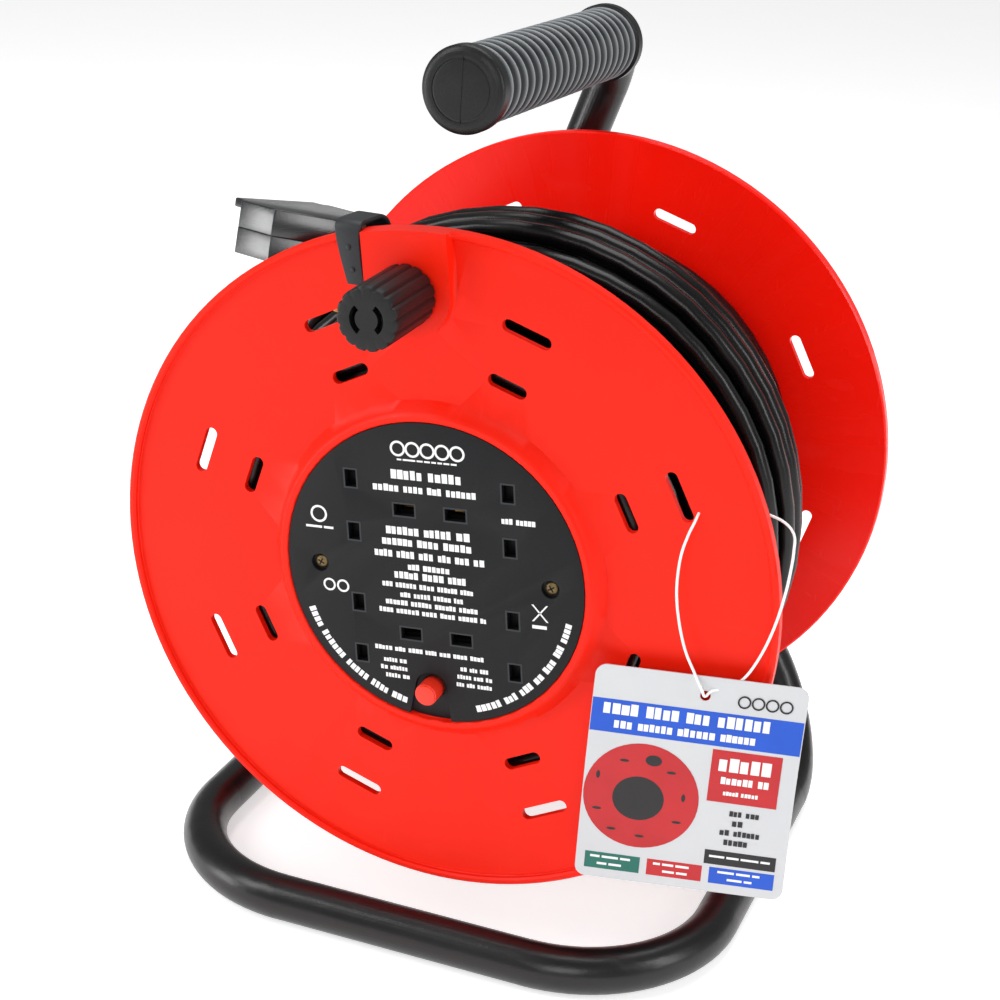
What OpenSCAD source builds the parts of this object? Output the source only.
/* [Drum] */
// Outer radius of both flanges
flange_r = 138; // [130:1:145]
// Front rim to rear rim, along the drum's axis
drum_depth = 190; // [170:1:210]
// Thickness of a flange's web
web_t = 3; // [2.5:0.1:4]
// How far the rim's bead stands out from the web
rim_h = 2.5; // [1.5:0.1:3.5]
// Outer radius of the barrel that the cable is wound on
barrel_r = 77.5; // [76:0.5:80]
// How far the drum is turned at rest, in degrees
drum_turn = 5; // [0:1:10]

/* [Sockets] */
// Radius of the black socket plate
plate_r = 62.8; // [60:0.1:64]
// Distance of each live and neutral column from the centre line
column_x = 33; // [32:0.5:34]
// Height of each socket above or below the drum's axis
socket_z = 26.3; // [25:0.1:28]

/* [Crank knob] */
// Distance of the knob from the drum's axis
knob_at_r = 114; // [112:1:116]
// Radius of the knob
knob_r = 12.2; // [11:0.1:13]
// Length of the knob
knob_len = 35; // [30:1:40]
// Number of flutes round the knob
flutes = 18; // [12:1:24]

/* [Stand] */
// Outer diameter of the steel tube
tube_d = 19; // [18:0.5:22]
// Wall of the steel tube
tube_wall = 1.5; // [1.2:0.1:2]
// Height of the drum's axis above the floor
axle_h = 165.5; // [160:0.5:175]
// Distance from the front rim back to the plane of the upright
upright_back = 210; // [205:1:215]
// Half the width of the floor loop, between tube centres
loop_half = 117.5; // [110:0.5:120]
// Outer radius of the hand grip's end flanges
grip_flange_r = 16.6; // [15:0.1:19]
// Number of ribs round the hand grip
grip_ribs = 20; // [14:1:24]

/* [Cable] */
// Diameter of the cable
cable_d = 8; // [7.5:0.1:8.2]

/* [Hidden] */
$fn = 96;

tube_r = tube_d / 2;
bend_extra = 0.05;                    // the wall swells a hair where the tube is bent
grip_turn = 2.7;                      // the grip rises towards its front, in degrees
knob_gap = 0.8;                       // clear gap behind the knob
boss_h = 7.5;                         // height of the knob's boss above the web
boss_front = rim_h - boss_h;          // front of the boss, behind the rim's plane
knob_face = boss_front - knob_gap - knob_len;
bolt_head_h = 3.3;
rear_most = upright_back + tube_r + bolt_head_h;
drum_y = -(knob_face + rear_most) / 2;   // front rim's plane in the part's own frame

// Flange, front one: distances back from the front rim's plane
web_front = rim_h;
web_back = rim_h + web_t;
rear_inner = drum_depth - web_back;   // the face of the rear flange that the cable meets
rear_outer = drum_depth - web_front;
collar_front = -3;
ledge_r = 57;
ledge_y = 0.8;
seat_r = plate_r + 0.3;
spigot_len = 8.5;
barrel_wall = 3.5;
spigot_r = barrel_r - barrel_wall - 0.2;
spigot_wall = 3;
slot_w = 5;
rim_w = 3;

// Tie screws
tie_r = 65;
tie_screw_r = 1.9;
tie_boss_r = 4.5;
tie_boss_len = 17;

// Spindle and its bearing
spindle_r = 8;
bearing_r = spindle_r + 0.06;
sleeve_r = 14;
sleeve_front = 130;
sleeve_back = 192;
plate_t = 3;
axle_plate_y = upright_back - tube_r - plate_t;
shoulder_y = axle_plate_y - 3;
stud_r = 6;
washer_t = 2;

// Sockets
pin_gap = 22.2;                       // live to neutral, and earth to their line
half_gap = pin_gap / 2;
earth_x = column_x - pin_gap;
line_hole = [4.8, 7.1];
earth_hole = [8.7, 4.8];
plate_t_sock = 3.3;
screw_x = 49;
carrier_r = 56;
carrier_front = 5.4;
carrier_back = 24;
cover_y = 33;
shutter_y = 2.4;
shutter_t = 2.8;
clip_front = 8;
strip_t = 0.8;
line_strip_y = 26.5;
neutral_strip_y = 29.5;
button_at = [-3.3, -49.4];
button_r = 4.6;
button_out = 9;
cutout_size = [16, 11];

// Knob's boss and pin
boss_half = 17.4;
boss_wall = 2.5;
knob_pin_r = 3;
knob_head_y = knob_face + 12;
knob_turn = 1.5;                      // the boss sits a little left of the sockets' centre line

// Stand
loop_shift = -3.5;
floor_z = tube_r + bend_extra - axle_h;
bar_y = -16;
left_x = loop_shift - loop_half;
right_x = loop_shift + loop_half;
top_x = -3.4;
top_z = 177;
riser_lean = 0.57;                    // sideways travel of the riser for each unit of height
riser_top = 38;
front_bend = 62;
rear_bend = 50;
top_bend = 27;
grip_front = 18;                      // the grip's flat end, behind the front rim's plane
grip_back = 183;
grip_wall_r = 13.6;                   // bottom of the grooves between ribs
rib_r = 15.4;
grip_flange_w = 7;

// Winding: radius of the wound cable at distances back from the front rim's plane
winding_in = barrel_r + 0.5;
winding_out = [[6, 97], [12, 99], [40, 100], [56, 107], [70, 117], [82, 121.5], [104, 121.5],
               [122, 113], [150, 101], [170, 95], [184, 90]];

// Plug, in its own frame: pins point down, the cable leaves along +X
plug_at = [-66, 30.5, 118];           // centre of the seam, from the drum's front centre
plug_yaw = -20;
plug_tilt = -1;
plug_roll = -12;                      // its top leans back
plug_len = 47;
plug_half = 24.5;
plug_neck = 11;
plug_base_h = 10;
plug_cover_h = 10.5;
plug_earth_x = -15.5;
plug_line_x = plug_earth_x + pin_gap;
plug_pin_w = 4;
lip_out = 5;
plug_nose = plug_len / 2;
plug_tip = 19;                        // the cable end, just short of the strap
plug_seat_r = cable_d / 2;

// Free end of the cable from the plug's mouth to the winding, from the drum's front centre
function from_plug(x) = plug_at + x * [cos(plug_tilt) * cos(plug_yaw), cos(plug_tilt) * sin(plug_yaw), -sin(plug_tilt)];
tail_points = [
    from_plug(plug_nose - 14), from_plug(plug_nose - 4), from_plug(plug_nose + 3), [-32, 18.6, 119.6],
    [-20, 16.5, 120], [-8, 16, 119], [6, 17, 116.5], [22, 20, 112], [38, 25, 105], [52, 31, 95.5],
    [64, 38, 84]
];
tail_sides = 10;
tail_step = 5;                        // rings between two points of the route

// ---- Helpers ----

// Drum frame: origin on the axis in the front rim's plane
module in_drum() {
    translate([0, drum_y, axle_h]) rotate([0, -drum_turn, 0]) children();
}

// The same origin, not turned with the drum
module in_stand() {
    translate([0, drum_y, axle_h]) children();
}

// A front view drawn as [right, up], given depth between two distances back
module slab(y1, y2) {
    translate([0, y2, 0]) rotate([90, 0, 0]) linear_extrude(height = y2 - y1) children();
}

// A ring turned about the drum's axis from points [radius, distance back]
module turned(points) {
    rotate([90, 0, 0]) rotate_extrude($fn = 180) polygon([for (p = points) [p[0], -p[1]]]);
}

module disc(r, y1, y2) {
    slab(y1, y2) circle(r);
}

module ring(r_out, r_in, y1, y2) {
    difference() {
        disc(r_out, y1, y2);
        disc(r_in, y1 - 1, y2 + 1);
    }
}

module hexagon(across, y1, y2) {
    slab(y1, y2) circle(across / sqrt(3), $fn = 6);
}

module slot_2d(len, w) {
    square([len - w, w], center = true);
    for (s = [-1, 1]) translate([s * (len - w) / 2, 0]) circle(w / 2, $fn = 32);
}

// Places a shape at each of the four tie screws
module at_ties() {
    for (a = [45:90:315]) rotate([0, -a, 0]) translate([tie_r, 0, 0]) children();
}

// Vectors
function unit(v) = v / norm(v);
function corner_angle(a, b, c) = acos(unit(b - a) * unit(c - b));
function setback(a, b, c, r) = r * tan(corner_angle(a, b, c) / 2);

// A straight length of round bar between two points
module bar(a, b, r) {
    d = b - a;
    translate(a) rotate([0, acos(d[2] / norm(d)), atan2(d[1], d[0])]) cylinder(r = r, h = norm(d));
}

module tube_2d(extra) {
    difference() {
        circle(tube_r + extra, $fn = 64);
        circle(tube_r - tube_wall - extra, $fn = 64);
    }
}

// Tube bent along a route: one straight length and the bend after it, then the rest of the run.
// It is drawn along +Z; across and aside are the route's own directions for +X and +Y.
module tube_run(route, bends, i, before, across, aside) {
    more = i + 2 < len(route);
    u = unit(route[i + 1] - route[i]);
    after = more ? setback(route[i], route[i + 1], route[i + 2], bends[i]) : 0;
    len = norm(route[i + 1] - route[i]) - before - after;
    linear_extrude(height = len) tube_2d(0);
    if (more) {
        w = unit(route[i + 2] - route[i + 1]);
        turn = corner_angle(route[i], route[i + 1], route[i + 2]);
        inward = unit(w - u * (u * w));
        side = cross(u, inward);
        translate([0, 0, len]) rotate(atan2(inward * aside, inward * across)) {
            translate([bends[i], 0, 0]) rotate([90, 0, 180]) rotate_extrude(angle = turn)
                translate([bends[i], 0]) tube_2d(bend_extra);
            translate([bends[i], 0, 0]) rotate([0, turn, 0]) translate([-bends[i], 0, 0])
                tube_run(route, bends, i + 1, after, cross(side, w), side);
        }
    }
}

// ---- Stand ----

riser_end = [right_x - riser_lean * (riser_top - floor_z), upright_back, riser_top];
grip_axis_front = [top_x, grip_front, top_z + (upright_back - grip_front) * tan(grip_turn)];
top_corner = [top_x, upright_back, top_z];
grip_dir = unit(grip_axis_front - top_corner);
tube_front = grip_axis_front - grip_dir * 8;
tube_route = [
    tube_front, top_corner, [left_x, upright_back, floor_z], [left_x, bar_y, floor_z],
    [right_x, bar_y, floor_z], [right_x, upright_back, floor_z], riser_end
];
down = unit(tube_route[2] - tube_route[1]);
first_across = unit(down - grip_dir * (grip_dir * down));
first_roll = atan2(-first_across[2] * cos(grip_turn) - first_across[1] * sin(grip_turn), first_across[0]);
tube_bends = [top_bend, rear_bend, front_bend, front_bend, rear_bend];

// Where the axle plate's bolts pass through the upright and the riser
function upright_x(z) = left_x + (top_x - left_x) * (z - floor_z) / (top_z - floor_z);
function riser_x(z) = right_x - riser_lean * (z - floor_z);
bolt_z = 17;
bolt_places = [for (z = [-bolt_z, bolt_z]) each [[upright_x(z), z], [riser_x(z), z]]];
bolt_r = 3;

module at_bolts() {
    for (p = bolt_places) translate([p[0], 0, p[1]]) children();
}

module frame_tube() {
    color("#1b1b1d") in_stand() difference() {
        translate(tube_front) rotate([-90 - grip_turn, 0, 0]) rotate(first_roll)
            tube_run(tube_route, tube_bends, 0, 0, first_across, cross(-grip_dir, first_across));
        at_bolts() disc(bolt_r + 0.2, axle_plate_y, rear_most);
    }
}

// Drawn along +Z from the grip's flat end, then laid along the tube
module on_grip() {
    in_stand() translate(grip_axis_front) rotate([-90 - grip_turn, 0, 0]) children();
}

grip_len = grip_back - grip_front;
rib_pitch = (grip_len - 2 * grip_flange_w) / grip_ribs;
cap_r = 11.4;
cap_t = 2;

module handle_grip() {
    color("#232427") on_grip() difference() {
        rotate_extrude() polygon(concat(
            [[0, 0], [grip_flange_r - 1.6, 0], [grip_flange_r, 1.6],
             [grip_flange_r, grip_flange_w - 1.4], [grip_wall_r, grip_flange_w]],
            [for (i = [0:grip_ribs - 1], p = [[0.18, grip_wall_r], [0.36, rib_r], [0.72, rib_r], [0.9, grip_wall_r]])
                [p[1], grip_flange_w + (i + p[0]) * rib_pitch]],
            [[grip_wall_r, grip_len - grip_flange_w], [grip_flange_r, grip_len - grip_flange_w + 1.4],
             [grip_flange_r, grip_len - 1.6], [grip_flange_r - 1.6, grip_len], [0, grip_len]]
        ));
        translate([0, 0, 8]) cylinder(r = tube_r, h = grip_len);
        translate([0, 0, -1]) cylinder(r = cap_r + 0.1, h = 1 + cap_t);
    }
}

module grip_end_cap() {
    color("#1c1d20") on_grip() cylinder(r = cap_r, h = cap_t);
}

module riser_end_plug() {
    up = unit(riser_end - [riser_x(0), upright_back, 0]);
    color("#141415") in_stand() {
        bar(riser_end, riser_end + up * 2.5, tube_r);
        bar(riser_end - up * 12, riser_end, tube_r - tube_wall - 0.1);
    }
}

plate_left = -82;
plate_right = 44;
plate_half_h = 30;
plate_corner = 10;

module axle_plate() {
    color("#232325") in_stand() difference() {
        slab(axle_plate_y, axle_plate_y + plate_t) difference() {
            translate([plate_left, -plate_half_h]) square([plate_right - plate_left, 2 * plate_half_h]);
            for (x = [plate_left, plate_right], z = [-plate_half_h, plate_half_h])
                translate([x, z]) rotate(45) square(plate_corner, center = true);
            circle(stud_r + 0.1);
        }
        at_bolts() disc(bolt_r + 0.2, axle_plate_y - 1, axle_plate_y + plate_t + 1);
    }
}

module frame_bolts() {
    color("#8d9095") in_stand() at_bolts() {
        disc(bolt_r, axle_plate_y - 5.6, upright_back + tube_r);
        disc(6.2, upright_back + tube_r, upright_back + tube_r + 1.8);
        disc(4, upright_back + tube_r + 1.8, rear_most);
    }
}

module frame_nuts() {
    color("#a5a8ac") in_stand() at_bolts() difference() {
        hexagon(10, axle_plate_y - 4.8, axle_plate_y);
        disc(bolt_r + 0.05, axle_plate_y - 6, axle_plate_y + 1);
    }
}

spindle_front = sleeve_front - 0.3;

module spindle() {
    color("#9ea2a6") in_stand() difference() {
        union() {
            disc(spindle_r, spindle_front, shoulder_y);
            disc(15, shoulder_y, axle_plate_y);
            disc(stud_r, axle_plate_y, axle_plate_y + plate_t + 9);
        }
        disc(4, spindle_front - 1, spindle_front + 26);
    }
}

module spindle_nut() {
    color("#a5a8ac") in_stand() difference() {
        hexagon(18, axle_plate_y + plate_t, axle_plate_y + plate_t + 7);
        disc(stud_r + 0.05, axle_plate_y, axle_plate_y + plate_t + 8);
    }
}

module thrust_washer() {
    color("#e8e6df") in_stand() ring(13.5, spindle_r + 0.1, sleeve_back + 0.1, shoulder_y);
}

module retaining_washer() {
    color("#a5a8ac") in_stand() ring(12.5, 4.1, spindle_front - washer_t, spindle_front);
}

module spindle_screw() {
    color("#8d9095") in_stand() {
        hexagon(13, spindle_front - washer_t - 5, spindle_front - washer_t);
        disc(3.95, spindle_front - washer_t, spindle_front + 22);
    }
}

// ---- Drum ----

outer_slot = [107.5, 20.5];
inner_slot = [85, 16.3];

// The eight pairs of slots, clear of the knob's boss
module slots_2d() {
    for (a = [22.5:45:337.5], s = [outer_slot, inner_slot])
        rotate(a) translate([s[0], 0]) rotate(90) slot_2d(s[1], slot_w);
}

// The boss's outline, round below the knob and open to the rim
module boss_2d(inset) {
    intersection() {
        rotate(knob_turn) translate([0, knob_at_r]) union() {
            circle(boss_half - inset);
            translate([inset - boss_half, 0]) square([2 * (boss_half - inset), flange_r]);
        }
        circle(flange_r - inset);
    }
}

module front_flange() {
    color("#e8321f") in_drum() difference() {
        union() {
            turned([
                [ledge_r, ledge_y], [seat_r, ledge_y], [seat_r, collar_front + 0.6],
                [seat_r + 0.6, collar_front], [seat_r + 2.4, collar_front], [seat_r + 4, collar_front + 1],
                [seat_r + 7.5, web_front], [flange_r - rim_w - 0.4, web_front],
                [flange_r - rim_w, web_front - 0.4], [flange_r - rim_w, 0.8], [flange_r - rim_w + 0.8, 0],
                [flange_r - 0.8, 0], [flange_r, 0.8], [flange_r, web_back - 0.7], [flange_r - 0.7, web_back],
                [spigot_r, web_back], [spigot_r, web_back + spigot_len],
                [spigot_r - spigot_wall, web_back + spigot_len], [spigot_r - spigot_wall, web_back],
                [ledge_r, ledge_y + 3]
            ]);
            slab(boss_front, web_front + 1) boss_2d(0);
            at_ties() disc(tie_boss_r, web_back - 1, web_back + tie_boss_len);
        }
        slab(web_front - 1, web_back + 1) slots_2d();
        slab(boss_front + boss_wall, web_back + 1) boss_2d(boss_wall);
        rotate([0, -knob_turn, 0]) translate([0, 0, knob_at_r]) disc(knob_pin_r + 0.1, boss_front - 1, web_back);
        at_ties() disc(tie_screw_r, web_back + 2, web_back + tie_boss_len + 1);
    }
}

rear_ribs = 4;

module rear_flange() {
    color("#f01e0d") in_drum() difference() {
        union() {
            turned([
                [bearing_r, sleeve_front], [sleeve_r, sleeve_front], [sleeve_r, rear_inner],
                [spigot_r - spigot_wall, rear_inner], [spigot_r - spigot_wall, rear_inner - spigot_len],
                [spigot_r, rear_inner - spigot_len], [spigot_r, rear_inner], [flange_r - 0.7, rear_inner],
                [flange_r, rear_inner + 0.7], [flange_r, drum_depth - 0.8], [flange_r - 0.8, drum_depth],
                [flange_r - rim_w + 0.8, drum_depth], [flange_r - rim_w, drum_depth - 0.8],
                [flange_r - rim_w, rear_outer], [sleeve_r + 4, rear_outer], [sleeve_r, sleeve_back],
                [bearing_r, sleeve_back]
            ]);
            for (i = [0:rear_ribs - 1]) rotate([0, i * 360 / rear_ribs, 0])
                translate([sleeve_r - 1, rear_inner - 34, -1.5])
                    cube([spigot_r - sleeve_r - spigot_wall + 1.5, 34.5, 3]);
        }
        slab(rear_inner - 1, rear_outer + 1) slots_2d();
        at_ties() disc(tie_screw_r + 0.1, rear_inner - 1, rear_outer + 1);
    }
}

gland_y = 26;
gland_turn = -30;
gland_r = 6.5;

module hub_barrel() {
    color("#c9281a") in_drum() difference() {
        ring(barrel_r, barrel_r - barrel_wall, web_back, rear_inner);
        rotate([0, gland_turn, 0]) translate([barrel_r - 12, gland_y, 0]) rotate([0, 90, 0])
            cylinder(r = gland_r + 0.1, h = 20);
    }
}

// Strain relief through the barrel's wall: a bush with a flange on the inside
module cable_gland() {
    color("#17181a") in_drum() intersection() {
        disc(winding_in, gland_y - 12, gland_y + 12);
        rotate([0, gland_turn, 0]) translate([0, gland_y, 0]) rotate([0, 90, 0]) difference() {
            union() {
                translate([0, 0, barrel_r - barrel_wall - 4]) cylinder(r = 9, h = 3.2);
                translate([0, 0, barrel_r - barrel_wall - 16]) cylinder(r = gland_r, h = 40);
            }
            cylinder(r = cable_d / 2 + 0.1, h = 120);
        }
    }
}

module tie_screws() {
    color("#9ea2a6") in_drum() at_ties() {
        disc(tie_screw_r - 0.05, web_back + 4, rear_outer);
        disc(4.2, rear_outer, rear_outer + 2.4);
    }
}

// ---- Sockets ----

// Calls its child at each socket; side is -1 or 1 for left or right, level for down or up
module line_holes_2d(size) {
    for (sx = [-1, 1], sz = [-1, 1], s = [-1, 1])
        translate([sx * column_x, sz * socket_z + s * half_gap]) square(size, center = true);
}

module earth_holes_2d(size) {
    for (sx = [-1, 1], sz = [-1, 1])
        translate([sx * earth_x, sz * socket_z]) square(size, center = true);
}

// The recess round the reset button, open to the plate's edge
module button_recess_2d() {
    translate(button_at) circle(7);
    polygon([
        button_at + [-6.6, 2.2], button_at + [6.8, 1.2], button_at + [8, -16], button_at + [-11, -16]
    ]);
}

module socket_plate() {
    color("#242527") in_drum() difference() {
        disc(plate_r, ledge_y - plate_t_sock, ledge_y);
        slab(ledge_y - plate_t_sock - 1, ledge_y + 1) {
            line_holes_2d(line_hole);
            earth_holes_2d(earth_hole);
            for (s = [-1, 1]) translate([s * screw_x, 0]) circle(2);
            translate(button_at) circle(button_r + 0.25);
        }
        slab(ledge_y - plate_t_sock - 1, ledge_y - 1.1) {
            button_recess_2d();
            for (s = [-1, 1]) translate([s * screw_x, 0]) circle(3.7);
        }
    }
}

module plate_screws() {
    color("#b9974b") in_drum() for (s = [-1, 1]) translate([s * screw_x, 0, 0]) difference() {
        union() {
            disc(3.4, ledge_y - 2.9, ledge_y - 1.1);
            disc(1.8, ledge_y - 1.1, carrier_back - 4);
        }
        translate([0, ledge_y - 2.9, 0]) rotate([0, 35, 0]) cube([5, 1.6, 0.9], center = true);
    }
}

module socket_carrier() {
    color("#1d1e20") in_drum() difference() {
        disc(carrier_r, carrier_front, carrier_back);
        slab(carrier_front - 1, carrier_back + 1) {
            line_holes_2d([6.4, 9]);
            earth_holes_2d([10.4, 6.4]);
            translate(button_at) square(cutout_size + [0.6, 0.6], center = true);
        }
        slab(carrier_front - 1, carrier_back - 3.5) for (s = [-1, 1]) translate([s * screw_x, 0]) circle(1.85);
    }
}

module carrier_cover() {
    color("#1d1e20") in_drum() difference() {
        union() {
            disc(carrier_r, cover_y, cover_y + 2);
            ring(carrier_r, carrier_r - 1.2, carrier_back, cover_y + 1);
        }
        translate([0, 0, -carrier_r]) cube([cutout_size[0] + 8, 90, 26], center = true);
        rotate([0, gland_turn, 0]) translate([carrier_r - 8, gland_y + 1, 0]) rotate([0, 90, 0])
            cylinder(r = 5, h = 12);
    }
}

// A sprung contact sleeve that closes on one pin, from its mouth back to the strip
module contact(x, z, size, back) {
    translate([x, 0, z]) difference() {
        slab(clip_front, back) square(size + [1.2, 1.2], center = true);
        slab(clip_front - 1, back - 2) square(size, center = true);
    }
}

module strip(x1, z1, x2, z2, y) {
    w = 4;
    slab(y, y + strip_t) translate([min(x1, x2) - w / 2, min(z1, z2) - w / 2])
        square([abs(x2 - x1) + w, abs(z2 - z1) + w]);
}

line_sleeve = [4.2, 6.6];
earth_sleeve = [8.2, 4.2];
outer_z = socket_z + half_gap;
inner_z = socket_z - half_gap;
link_x = -24;

module live_busbar() {
    color("#c8a24a") in_drum() {
        for (sx = [-1, 1], sz = [-1, 1])
            contact(sx * column_x, sz * outer_z, line_sleeve, line_strip_y + strip_t);
        for (sz = [-1, 1]) strip(link_x, sz * outer_z, column_x, sz * outer_z, line_strip_y);
        strip(link_x, -outer_z, link_x, outer_z, line_strip_y);
    }
}

module neutral_busbar() {
    color("#c8a24a") in_drum() {
        for (sx = [-1, 1], sz = [-1, 1])
            contact(sx * column_x, sz * inner_z, line_sleeve, neutral_strip_y + strip_t);
        for (sz = [-1, 1]) strip(-column_x, sz * inner_z, column_x, sz * inner_z, neutral_strip_y);
        strip(0, -inner_z, 0, inner_z, neutral_strip_y);
    }
}

module earth_busbar() {
    color("#c8a24a") in_drum() {
        for (sx = [-1, 1], sz = [-1, 1])
            contact(sx * earth_x, sz * socket_z, earth_sleeve, line_strip_y + strip_t);
        for (sz = [-1, 1]) strip(-earth_x, sz * socket_z, earth_x, sz * socket_z, line_strip_y);
        strip(0, -socket_z, 0, socket_z, line_strip_y);
    }
}

// A shutter that closes one socket's live and neutral holes and slides towards the earth hole
module shutter(sx, sz) {
    color("#3a3b3e") in_drum() slab(shutter_y, shutter_y + shutter_t)
        translate([sx * column_x, sz * socket_z]) {
            for (s = [-1, 1]) translate([0, s * half_gap]) square([8, 8.6], center = true);
            translate([-sx * 2, 0]) square([4, 2 * half_gap], center = true);
        }
}

module shutter_1() { shutter(-1, 1); }
module shutter_2() { shutter(1, 1); }
module shutter_3() { shutter(-1, -1); }
module shutter_4() { shutter(1, -1); }

module thermal_cutout() {
    color("#121213") in_drum() difference() {
        union() {
            slab(6.2, 31) translate(button_at) square(cutout_size, center = true);
            for (s = [-1, 1]) translate([button_at[0] + s * 4, 31, button_at[1]]) cube([3, 14, 1], center = true);
        }
        translate([button_at[0], 0, button_at[1]]) disc(3.1, 5, 18);
    }
}

module reset_button() {
    color("#f0402c") in_drum() translate([button_at[0], 0, button_at[1]]) {
        disc(button_r, -button_out + 0.5, 2.2);
        disc(button_r - 0.5, -button_out, -button_out + 0.5);
        disc(3, 2.2, 12);
    }
}

// ---- Crank knob ----

module at_knob() {
    in_drum() rotate([0, -knob_turn, 0]) translate([0, 0, knob_at_r]) children();
}

flute_r = 1.5;
arc_in = 5;
arc_out = 8;
knob_wall = 3;

// Half of the opening in the knob's end, as a ring cut to a sector
module arc_slot_2d() {
    intersection() {
        difference() {
            circle(arc_out);
            circle(arc_in);
        }
        polygon([[0, 0], [arc_out * 2, arc_out * 2.2], [arc_out * 2, -arc_out * 2.2]]);
    }
}

module crank_knob() {
    color("#19191b") at_knob() difference() {
        union() {
            disc(knob_r, knob_face + 1, knob_face + knob_len);
            disc(knob_r - 0.7, knob_face, knob_face + 1);
        }
        slab(knob_face - 1, knob_face + knob_len + 1) for (i = [0:flutes - 1])
            rotate(i * 360 / flutes) translate([knob_r + flute_r * 0.55, 0]) circle(flute_r, $fn = 24);
        slab(knob_face - 1, knob_face + knob_wall + 1) for (s = [0, 180]) rotate(s) arc_slot_2d();
        disc(8.6, knob_face + knob_wall, knob_head_y);
        disc(knob_pin_r + 0.06, knob_head_y - 1, knob_face + knob_len + 1);
    }
}

module knob_pin() {
    color("#9ea2a6") at_knob() {
        disc(6, knob_head_y - 4.2, knob_head_y - 0.2);
        disc(knob_pin_r, knob_head_y - 0.2, web_back - 0.5);
    }
}

module knob_nut() {
    color("#a5a8ac") at_knob() difference() {
        hexagon(10, boss_front + boss_wall, boss_front + boss_wall + 4.5);
        disc(knob_pin_r + 0.05, boss_front, web_back);
    }
}

// ---- Strap that holds the plug ----

strap_t = 2;
strap_w = 11;
strap_x = -39.5;
strap_foot = 113;
strap_top = 136.5;
strap_hold = [20.8, 118.9];           // centre of the loop, [distance back, height]
loop_in = cable_d / 2 + 2.6;

// Side view of the strap, drawn as [distance back, height]
module strap_2d() {
    front = -0.2;
    difference() {
        union() {
            translate([front - strap_t, strap_foot]) square([strap_t, strap_top - strap_foot - 4]);
            translate([front - strap_t, strap_top - 4]) square([strap_hold[0] - front, 4]);
            translate(strap_hold) circle(loop_in + strap_t);
            translate([strap_hold[0] - 4, strap_hold[1]])
                square([4 + loop_in + strap_t, strap_top - strap_hold[1]]);
        }
        translate(strap_hold) circle(loop_in);
        translate([strap_hold[0] - loop_in, strap_hold[1]])
            square([2 * loop_in, strap_top - strap_t - strap_hold[1]]);
        translate([front, strap_foot - 1]) square([strap_hold[0] - loop_in - strap_t, strap_top - strap_t - strap_foot + 1]);
    }
}

module retaining_strap() {
    color("#26272a") in_stand() difference() {
        translate([strap_x - strap_w / 2, 0, 0]) rotate([90, 0, 90]) linear_extrude(height = strap_w) strap_2d();
        for (z = [strap_foot + 7, strap_foot + 14]) translate([strap_x, 0, z]) disc(0.9, -4, 1);
    }
}

// ---- Cable ----

module cable_winding() {
    last = len(winding_out) - 1;
    color("#1c1c1e") in_drum() turned(concat(
        [[winding_in, winding_out[0][0]]],
        [for (p = winding_out) [p[1], p[0]]],
        [[winding_in, winding_out[last][0]]]
    ));
}

// A smooth curve through the route's points
function pick(p, i) = p[max(0, min(len(p) - 1, i))];
function smooth(a, b, c, d, t) = 0.5 * (2 * b + (c - a) * t + (2 * a - 5 * b + 4 * c - d) * t * t
    + (3 * b - a - 3 * c + d) * t * t * t);
function curve(p, n) = concat(
    [for (i = [0:len(p) - 2], k = [0:n - 1])
        smooth(pick(p, i - 1), p[i], p[i + 1], pick(p, i + 2), k / n)],
    [p[len(p) - 1]]);
function along(p, i) = unit(pick(p, i + 1) - pick(p, i - 1));
function ring_at(p, i, r, sides) = let (d = along(p, i), s = unit(cross(d, [0, 1, 0])), t = cross(d, s))
    [for (k = [0:sides - 1]) p[i] + r * (s * cos(k * 360 / sides) + t * sin(k * 360 / sides))];

module swept(p, r, sides) {
    n = len(p);
    polyhedron(
        points = [for (i = [0:n - 1]) each ring_at(p, i, r, sides)],
        faces = concat(
            [[for (k = [0:sides - 1]) k]],
            [for (i = [0:n - 2], k = [0:sides - 1]) let (a = i * sides + k, b = i * sides + (k + 1) % sides)
                [b, a, a + sides, b + sides]],
            [[for (k = [sides - 1:-1:0]) (n - 1) * sides + k]]
        )
    );
}

module cable_tail() {
    color("#1c1c1e") in_stand() swept(curve(tail_points, tail_step), cable_d / 2, tail_sides);
}

// ---- Plug ----

module on_plug() {
    in_stand() translate(plug_at) rotate([0, plug_tilt, plug_yaw]) rotate([plug_roll, 0, 0]) children();
}

// The plug's outline from above: square at the earth end, drawn in to the cable
module plug_outline(inset) {
    h = plug_half - inset;
    n = plug_neck - inset;
    tip = plug_tip - inset;
    polygon([
        [inset - plug_nose + 2, -h], [-plug_nose + 21, -h], [tip - 3, -n], [tip, 3 - n],
        [tip, n - 3], [tip - 3, n], [-plug_nose + 21, h], [inset - plug_nose + 2, h],
        [inset - plug_nose, h - 2], [inset - plug_nose, 2 - h]
    ]);
}

// The passage for the cable, from the plug's mouth inwards
module cable_way(r) {
    translate([plug_nose - 14, 0, 0]) rotate([0, 90, 0]) cylinder(r = r, h = 20);
}

module pin_block(x, y, len_x, len_y, z1, z2) {
    translate([x - len_x / 2, y - len_y / 2, z1]) cube([len_x, len_y, z2 - z1]);
}

earth_pin_len = 22.7;
line_pin_len = 17.7;
pin_root = 5;

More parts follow.
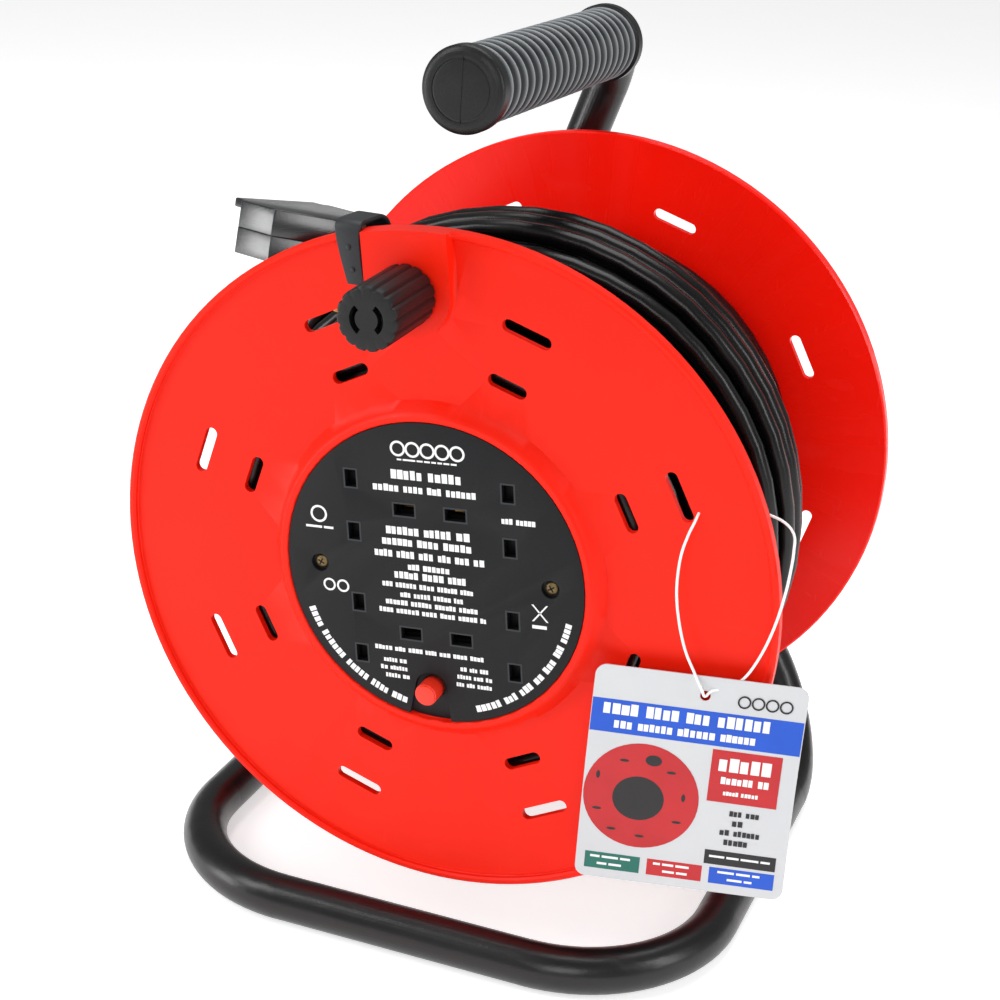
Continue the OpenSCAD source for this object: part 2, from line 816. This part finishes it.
module plug_base() {
    color("#1a1b1d") on_plug() difference() {
        translate([0, 0, -plug_base_h]) linear_extrude(height = plug_base_h) plug_outline(0);
        translate([0, 0, -plug_base_h + 3]) linear_extrude(height = plug_base_h) intersection() {
            plug_outline(2.5);
            translate([-plug_nose, -plug_half]) square([plug_len - 12, 2 * plug_half]);
        }
        cable_way(plug_seat_r);
        pin_block(plug_earth_x, 0, 8, plug_pin_w, -plug_base_h - 1, 1);
        for (s = [-1, 1]) pin_block(plug_line_x, s * half_gap, plug_pin_w, 6.4, -plug_base_h - 1, 1);
        translate([-4, 0, -plug_base_h - 1]) cylinder(r = 1.7, h = 6);
    }
}

module plug_cover() {
    color("#202124") on_plug() difference() {
        union() {
            linear_extrude(height = plug_cover_h) plug_outline(0);
            translate([-plug_nose - lip_out, -plug_half + 3, plug_cover_h - 3.5])
                cube([lip_out + 4, 2 * plug_half - 6, 3.5]);
        }
        translate([0, 0, -1]) linear_extrude(height = plug_cover_h - 1.5) intersection() {
            plug_outline(2.5);
            translate([-plug_nose, -plug_half]) square([plug_len - 12, 2 * plug_half]);
        }
        cable_way(plug_seat_r);
    }
}

module plug_earth_pin() {
    color("#c8a24a") on_plug() pin_block(plug_earth_x, 0, 8, plug_pin_w, -plug_base_h - earth_pin_len, -pin_root + 3);
}

module plug_line_pins() {
    color("#c8a24a") on_plug() for (s = [-1, 1])
        pin_block(plug_line_x, s * half_gap, plug_pin_w, 6.4, -plug_base_h - line_pin_len, -pin_root + 3);
}

// The 13 A cartridge fuse beside the live pin
module plug_fuse() {
    color("#8a5a2b") on_plug() translate([-7, -10, 1.5]) rotate([0, 90, 0]) cylinder(r = 3.15, h = 25.4, center = true);
}

module plug_clamp() {
    color("#1a1b1d") on_plug() translate([6.2, -9, 4.2]) cube([5, 18, 2.5]);
}

module plug_screws() {
    color("#b9974b") on_plug() {
        translate([-4, 0, -plug_base_h + 0.6]) cylinder(r = 1.6, h = 14);
        for (s = [-1, 1]) translate([8.7, s * 6.5, 6.7]) cylinder(r = 1.8, h = 1.2);
    }
}

card_t = 0.6;

// A printed card pushed over the pins
module pin_card() {
    color("#f2f2ee") on_plug() translate([0, 0, -plug_base_h - 9]) linear_extrude(height = card_t) difference() {
        translate([-plug_nose + 2, -plug_half + 6.5]) square([32, 2 * plug_half - 9.5]);
        translate([plug_earth_x, 0]) square([8, plug_pin_w], center = true);
        for (s = [-1, 1]) translate([plug_line_x, s * half_gap]) square([plug_pin_w, 6.4], center = true);
    }
}

frame_tube();
handle_grip();
grip_end_cap();
riser_end_plug();
axle_plate();
frame_bolts();
frame_nuts();
spindle();
spindle_nut();
thrust_washer();
retaining_washer();
spindle_screw();
front_flange();
rear_flange();
hub_barrel();
tie_screws();
socket_plate();
plate_screws();
socket_carrier();
carrier_cover();
live_busbar();
neutral_busbar();
earth_busbar();
shutter_1();
shutter_2();
shutter_3();
shutter_4();
thermal_cutout();
reset_button();
cable_gland();
crank_knob();
knob_pin();
knob_nut();
retaining_strap();
cable_winding();
cable_tail();
plug_base();
plug_cover();
plug_earth_pin();
plug_line_pins();
plug_fuse();
plug_clamp();
plug_screws();
pin_card();
